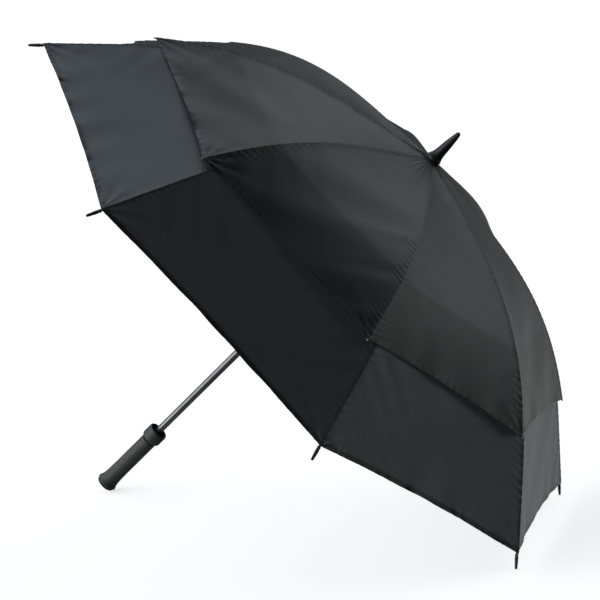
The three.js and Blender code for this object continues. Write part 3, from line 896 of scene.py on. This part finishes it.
def tip_cap(k):
    """The round-ended cap on the rod's end, with a groove near its base."""
    base = RIB_ARC + GAP
    end = TIP_LENGTH - GAP
    groove = TIP_BASE_R - 0.5 * MM
    outline = [
        (ROD_R + 0.3 * MM, 2 * MM), (ROD_R + 0.3 * MM, 0), (TIP_BASE_R, 0), (TIP_BASE_R, 2 * MM),
        (groove, 2.6 * MM), (groove, 4.6 * MM), (TIP_BASE_R, 5.4 * MM),
        (TIP_BASE_R - 0.1 * MM, 9 * MM), *dome(TIP_END_R, end, 7), (0, end),
    ]
    mesh = turned(lathe("cap", outline, 28, False, 0.5 * MM), along_rib(base))
    piece(f"rib_{k}_cap", mesh, rib_frame(k), f"rib_{k}_end", PLASTIC, [f"rib_{k}_tip"])


def binding(k, body, label, arcs):
    """Thread wound round the rod and through the seam, which ties the cloth down."""
    loops = [
        turned(ring("loop", 0, ROD_R + 0.55 * MM, 0.3 * MM, 4, 0.6 * MM, 18, 6), along_rib(arc))
        for arc in arcs
    ]
    piece(f"rib_{k}_{label}", joined("ties", loops), rib_frame(k), body, THREAD)


def vent_corner(k):
    """The upper hem's corner: a small bright tip, and the elastic that holds it to the rib."""
    arc = UPPER_ARC - 2 * MM
    turn = Matrix.Rotation(float(UPPER.twist(np.array(arc))), 4, "Z")
    lift = float(UPPER.lift(np.array(arc)))
    corner = turn @ profile_point(arc, lift - 0.4 * MM)
    outward = (turn @ profile_point(arc + 4 * MM, lift) - turn @ profile_point(arc, lift)).normalized()
    tail = corner + outward * 5 * MM
    mesh = sweep("tip", [corner - outward * 4 * MM, corner, tail - outward * 1 * MM, tail],
                 [0.9 * MM, 1.35 * MM, 1.25 * MM, 0.6 * MM], 16)
    piece(f"vent_tip_{k}", mesh, rib_frame(k), f"rib_{k}_end", STEEL)
    down = profile_point(UPPER_ARC - 26 * MM, 1.2 * MM)
    droop = Vector((0, 0, 1.5 * MM))
    path = [corner.lerp(down, t) - droop * math.sin(math.pi * t) for t in np.linspace(0, 1, 9)]
    mesh = sweep("elastic", path, [0.8 * MM] * len(path), 10)
    piece(f"vent_elastic_{k}", mesh, rib_frame(k), f"rib_{k}_end", THREAD)


def ribs():
    """Each rib with its bracket, rivet, cap, ties and vent corner, and its stretcher."""
    for k in RIBS:
        inner_rod(k)
        outer_rod(k)
        bracket(k)
        rivet(k)
        tip_cap(k)
        binding(k, f"rib_{k}", "inner_ties", np.array([70, 160, 250, 325]) * MM)
        binding(k, f"rib_{k}_end", "outer_ties", np.array([400, 490, 580, 660, 711]) * MM)
        vent_corner(k)
        dressed(f"stretcher_{k}", FIBREGLASS, 0.5 * MM)


# ---- Crown, runner, shaft and handle ----

def crown_collar():
    """The collar under the ferrule, which clamps the cloth."""
    cap = lathe("cap", [
        (SHAFT_R, CAP_BOTTOM), (13.6 * MM, CAP_BOTTOM - 0.6 * MM), (14.4 * MM, CAP_BOTTOM),
        (14.2 * MM, CAP_TOP - 0.8 * MM), (13.2 * MM, CAP_TOP), (SHAFT_R, CAP_TOP),
    ])
    piece("crown_collar", cap, UMBRELLA, "frame", PLASTIC, ["crown_cap"])


def ferrule():
    """The spike on top: a short flange, a concave skirt and a round end."""
    low = CAP_TOP + GAP
    skirt = lathe("skirt", [
        (SHAFT_R, low), (12.7 * MM, low), (12.7 * MM, low + 1.6 * MM), (12.0 * MM, low + 3 * MM),
        (10.8 * MM, low + 6 * MM), (9.9 * MM, low + 11 * MM), (9.3 * MM, low + 17 * MM),
        (8.2 * MM, low + 30 * MM), (5.7 * MM, low + 50 * MM),
        *dome(FERRULE_END_R, FERRULE_TOP, 8), (0, FERRULE_TOP),
    ], radius=2 * MM)
    piece("ferrule_spike", skirt, UMBRELLA, "frame", PLASTIC, ["ferrule"])


def crown_rosette():
    """The scrap of cloth gathered under the collar, wavy round its edge."""
    rosette = lathe("rosette", [
        (SHAFT_R + 1 * MM, 2.7 * MM), (14.5 * MM, 1.9 * MM), (16.5 * MM, 1.4 * MM), (16.9 * MM, 1.0 * MM),
        (16.5 * MM, 0.8 * MM), (SHAFT_R + 1 * MM, 2.0 * MM),
    ], 48, False, 0.4 * MM)
    for vertex in rosette.vertices:
        angle = math.atan2(vertex.co.y, vertex.co.x)
        vertex.co.z += 0.9 * MM * (1 + 0.35 * math.cos(2 * RIB_COUNT * angle))
    piece("crown_rosette", rosette, UMBRELLA, "frame", STRAP_CLOTH)


def rings():
    """The notch, the runner and its button, and the wires that the ribs and stretchers hang on."""
    dressed("top_notch", PLASTIC)
    dressed("runner", PLASTIC, 0.45 * MM)
    dressed("latch_button", BUTTON_PLASTIC, 0.4 * MM)
    drop = 2 * (profile_point(BRACKET_ARC, -(ROD_DEPTH + BRACKET_DROP)).z - PIVOT_Z)
    for place, height, body in (("notch", PIVOT_Z, "frame"), ("runner", PIVOT_Z + drop, "runner")):
        wire = ring("wire", height, CROWN_R, WIRE_R, around=96, sides=12)
        name = f"{place}_binding_wire"
        piece(name, wire, UMBRELLA, body, STEEL, [f"{place}_wire"])


def shaft():
    """The coated tube, from inside the grip to inside the ferrule."""
    bottom = HANDLE_END + END_CAP_T + 6 * MM
    tube = lathe("tube", [(0, bottom), (SHAFT_R, bottom), (SHAFT_R, SHAFT_TOP), (0, SHAFT_TOP)], 48)
    piece("shaft_tube", tube, UMBRELLA, "frame", SHAFT_COAT, ["shaft"])


def tip_cup():
    """The open ring at the top of the handle that takes the rib tips."""
    floor = CUP_TOP - CUP_DEPTH
    cup = lathe("cup", [
        (SHAFT_R + GAP, CUP_BOTTOM), (CUP_R - 2 * MM, CUP_BOTTOM), (CUP_R, CUP_BOTTOM + 2.4 * MM),
        (CUP_R, CUP_TOP - 2.4 * MM), (CUP_R - 1.2 * MM, CUP_TOP), (CUP_INNER_R, CUP_TOP),
        (CUP_INNER_R, floor), (SHAFT_R + GAP, floor),
    ], 72, True, 1.6 * MM)
    piece("handle_cup", cup, UMBRELLA, "frame", CUP_PLASTIC, ["tip_cup"])


def grip():
    """The foam grip, necked under the cup and flared at the end, and the disc that closes it."""
    top = CUP_BOTTOM - GAP
    bottom = HANDLE_END + END_CAP_T + GAP
    body = lathe("grip", [
        (SHAFT_R, top), (GRIP_R - 4 * MM, top), (GRIP_R - 4 * MM, top - 3 * MM),
        (GRIP_R - 0.3 * MM, top - 3.2 * MM), (GRIP_R, top - 5 * MM), (GRIP_R, top - 40 * MM),
        (GRIP_R, top - 80 * MM), (GRIP_R + 0.4 * MM, top - 104 * MM),
        (GRIP_R + 1.2 * MM, top - 114 * MM), (GRIP_RIM_R - 1.8 * MM, bottom + 6.5 * MM),
        (GRIP_RIM_R, bottom + 3.8 * MM), (GRIP_RIM_R, bottom + 1.6 * MM),
        (GRIP_RIM_R - 2.4 * MM, bottom), (0, bottom),
    ], 72, False, 2.4 * MM)
    piece("handle_grip", body, UMBRELLA, "frame", RUBBER, ["grip"])
    edge = 1.5 * MM
    disc = lathe("disc", [
        (0, HANDLE_END + 0.5 * MM), (11 * MM, HANDLE_END + 0.5 * MM), (12 * MM, HANDLE_END),
        (END_CAP_R - edge, HANDLE_END), (END_CAP_R, HANDLE_END + edge),
        (END_CAP_R, HANDLE_END + END_CAP_T), (0, HANDLE_END + END_CAP_T),
    ], 64, False, 0.7 * MM)
    piece("handle_end_disc", disc, UMBRELLA, "frame", PLASTIC, ["grip_end_cap"])


def strap_faces(rows, columns):
    """The faces of two layers of a grid, the second turned over, and of the rim between them."""
    index = np.arange(2 * rows * columns).reshape(2, rows, columns)
    faces = []
    for i in range(rows - 1):
        for j in range(columns - 1):
            faces.append((index[0, i, j], index[0, i + 1, j], index[0, i + 1, j + 1], index[0, i, j + 1]))
            faces.append((index[1, i, j], index[1, i, j + 1], index[1, i + 1, j + 1], index[1, i + 1, j]))
    rim = [index[:, i, 0] for i in range(rows)]
    rim += [index[:, -1, j] for j in range(1, columns)]
    rim += [index[:, i, -1] for i in range(rows - 2, -1, -1)]
    rim += [index[:, 0, j] for j in range(columns - 2, 0, -1)]
    for here, there in zip(rim, rim[1:] + rim[:1]):
        faces.append((here[0], here[1], there[1], there[0]))
    return [tuple(int(v) for v in face) for face in faces]


def strap_mesh(arc, across, columns, lift):
    """The doubled strip over a grid of the lower layer's cloth, with its two UV maps."""
    wave = 0.35 * MM * np.sin(math.tau * (arc - STRAP_FROM) / (55 * MM))
    edge = 0.25 * MM * np.minimum(1, np.minimum(columns, 1 - columns) / 0.08)[None, :]
    off_cloth = lift - LOWER.lift(arc) - creases(LOWER, STRAP_RIB, arc, across) + wave
    layers = [panel_point(LOWER, STRAP_RIB, arc, across, off_cloth + rise) for rise in (STRAP_T + edge, 0)]
    points = np.concatenate([layer.reshape(-1, 3) for layer in layers])
    mesh = mesh_of("strap", points, strap_faces(*arc.shape))
    level = 0 * arc
    weave = np.stack([STRAP_W * columns[None, :] + level, arc], -1).reshape(-1, 2)
    edges = np.stack([STRAP_W * np.minimum(columns, 1 - columns)[None, :] + level, 1 + level], -1)
    add_uv_maps(mesh, np.tile(weave, (2, 1)), np.tile(edges.reshape(-1, 2), (2, 1)))
    return tidy_mesh(mesh, 40)


def tie_strap():
    """A doubled strip with stitched edges, lying on the cloth beside its rib, with a press stud."""
    columns = np.array([0, 0.03, 0.1, 0.25, 0.5, 0.75, 0.9, 0.97, 1])
    rows = np.linspace(0, 1, 60)
    lift = LOWER_LIFT + CLOTH_T + 1.6 * MM
    start = ROD_R + 2 * MM
    length = STRAP_TO - STRAP_FROM
    arc = STRAP_FROM + length * rows[:, None] + 0 * columns[None, :]
    half_width = profile(arc)[0] * math.sin(HALF_SECTOR)
    across = -1 + (start + STRAP_W * columns[None, :]) / half_width
    mesh = strap_mesh(arc, across, columns, lift)
    body = f"rib_{STRAP_RIB}_end"
    obj = piece("closing_strap", mesh, UMBRELLA, body, STRAP_CLOTH, ["tie_strap"])
    stud_row = 6
    stud_column = 4
    stud_arc = arc[stud_row, stud_column]
    stud_across = across[stud_row, stud_column]
    at = panel_point(LOWER, STRAP_RIB, stud_arc, stud_across, lift - LOWER.lift(stud_arc) + 1.3 * MM)
    facing = panel_normal(LOWER, STRAP_RIB, np.array([stud_arc]), np.array([stud_across]))[0]
    stud = lathe("stud", [
        (0, 1.1 * MM), (3.0 * MM, 1.0 * MM), (4.6 * MM, 0.6 * MM), (5.2 * MM, 0), (0, -0.3 * MM),
    ], 32, False, 0.5 * MM)
    turn = Vector(facing).to_track_quat("Z", "Y").to_matrix().to_4x4()
    place = UMBRELLA @ Matrix.Translation(at.tolist()) @ turn
    button = piece("strap_stud", stud, place, body, STEEL)
    gather(obj)


# ---- Studio ----

def add_camera():
    """The camera looks at CAMERA_TARGET from CAMERA_DISTANCE away."""
    azimuth = math.radians(CAMERA_AZIMUTH)
    elevation = math.radians(CAMERA_ELEVATION)
    level = Vector((math.sin(azimuth), -math.cos(azimuth), 0)) * math.cos(elevation)
    back = level + Vector((0, 0, math.sin(elevation)))
    data = bpy.data.cameras.new("camera")
    data.lens = CAMERA_LENS
    data.sensor_width = CAMERA_SENSOR
    camera = bpy.data.objects.new("camera", data)
    bpy.context.scene.collection.objects.link(camera)
    roll = Matrix.Rotation(math.radians(CAMERA_ROLL), 3, "Z")
    turn = (-back).to_track_quat("-Z", "Y").to_matrix() @ roll
    place = Matrix.Translation(Vector(CAMERA_TARGET) + back * CAMERA_DISTANCE)
    camera.matrix_world = place @ turn.to_4x4()
    bpy.context.scene.camera = camera


def backdrop(tree, strength, color=(1, 1, 1)):
    """An even light from all of the sky, or from the part of it where strength is above 0."""
    return make(tree, "Background", {"Color": (*color, 1), "Strength": strength}).outputs[0]


def soft_light(tree, direction, azimuth, elevation, edge, core, strength, color):
    """A broad soft light in the sky. edge and core are angles from its middle."""
    turn = math.radians(azimuth)
    rise = math.radians(elevation)
    middle = (math.cos(rise) * math.cos(turn), math.cos(rise) * math.sin(turn), math.sin(rise))
    near = make(tree, "VectorMath", {0: direction, 1: middle}, operation="DOT_PRODUCT").outputs["Value"]
    low = math.cos(math.radians(edge))
    high = math.cos(math.radians(core))
    level = remap(tree, near, low, high, 0, strength, smooth=True)
    return backdrop(tree, level, color)


def studio_world():
    """A dim room with broad soft lights in it. The camera sees white."""
    world = bpy.data.worlds.new("studio")
    bpy.context.scene.world = world
    world.use_nodes = True
    tree = world.node_tree
    direction = make(tree, "TexCoord").outputs["Generated"]
    room = backdrop(tree, ROOM_STRENGTH)
    for light in SKY_LIGHTS:
        room = make(tree, "AddShader", {0: room, 1: soft_light(tree, direction, *light)}).outputs[0]
    white = backdrop(tree, BACKDROP_STRENGTH)
    seen = make(tree, "LightPath").outputs["Is Camera Ray"]
    mix = make(tree, "MixShader", {0: seen, 1: room, 2: white})
    feed(tree, tree.nodes["World Output"], {"Surface": mix.outputs[0]})


def floor():
    """A pale plane that takes shadows but doesn't light the umbrella."""
    corners = [(-1, -1), (1, -1), (1, 1), (-1, 1)]
    mesh = mesh_of("floor", [(x * FLOOR_HALF, y * FLOOR_HALF, 0) for x, y in corners], [(0, 1, 2, 3)])
    material, tree, surface = blank("studio_floor")
    cloudy = noise(tree, 0.6, 2, 0.5)
    feed(tree, surface, {
        "Base Color": shade(tree, cloudy, (0.86, 0.86, 0.86), (0.9, 0.9, 0.9)),
        "Roughness": 0.7,
        "Specular IOR Level": 0.2,
        "Emission Color": (1, 1, 1, 1),
        "Emission Strength": FLOOR_GLOW,
    })
    mesh.materials.append(material)
    obj = bpy.data.objects.new("floor", mesh)
    obj.visible_diffuse = False
    obj.visible_glossy = False
    bpy.context.scene.collection.objects.link(obj)


def studio():
    """The sky, the floor and plain colours without a film curve."""
    studio_world()
    floor()
    bpy.context.scene.view_settings.view_transform = "Standard"


add_camera()
canopy()
ribs()
crown_collar()
ferrule()
crown_rosette()
rings()
shaft()
tip_cup()
grip()
tie_strap()
studio()
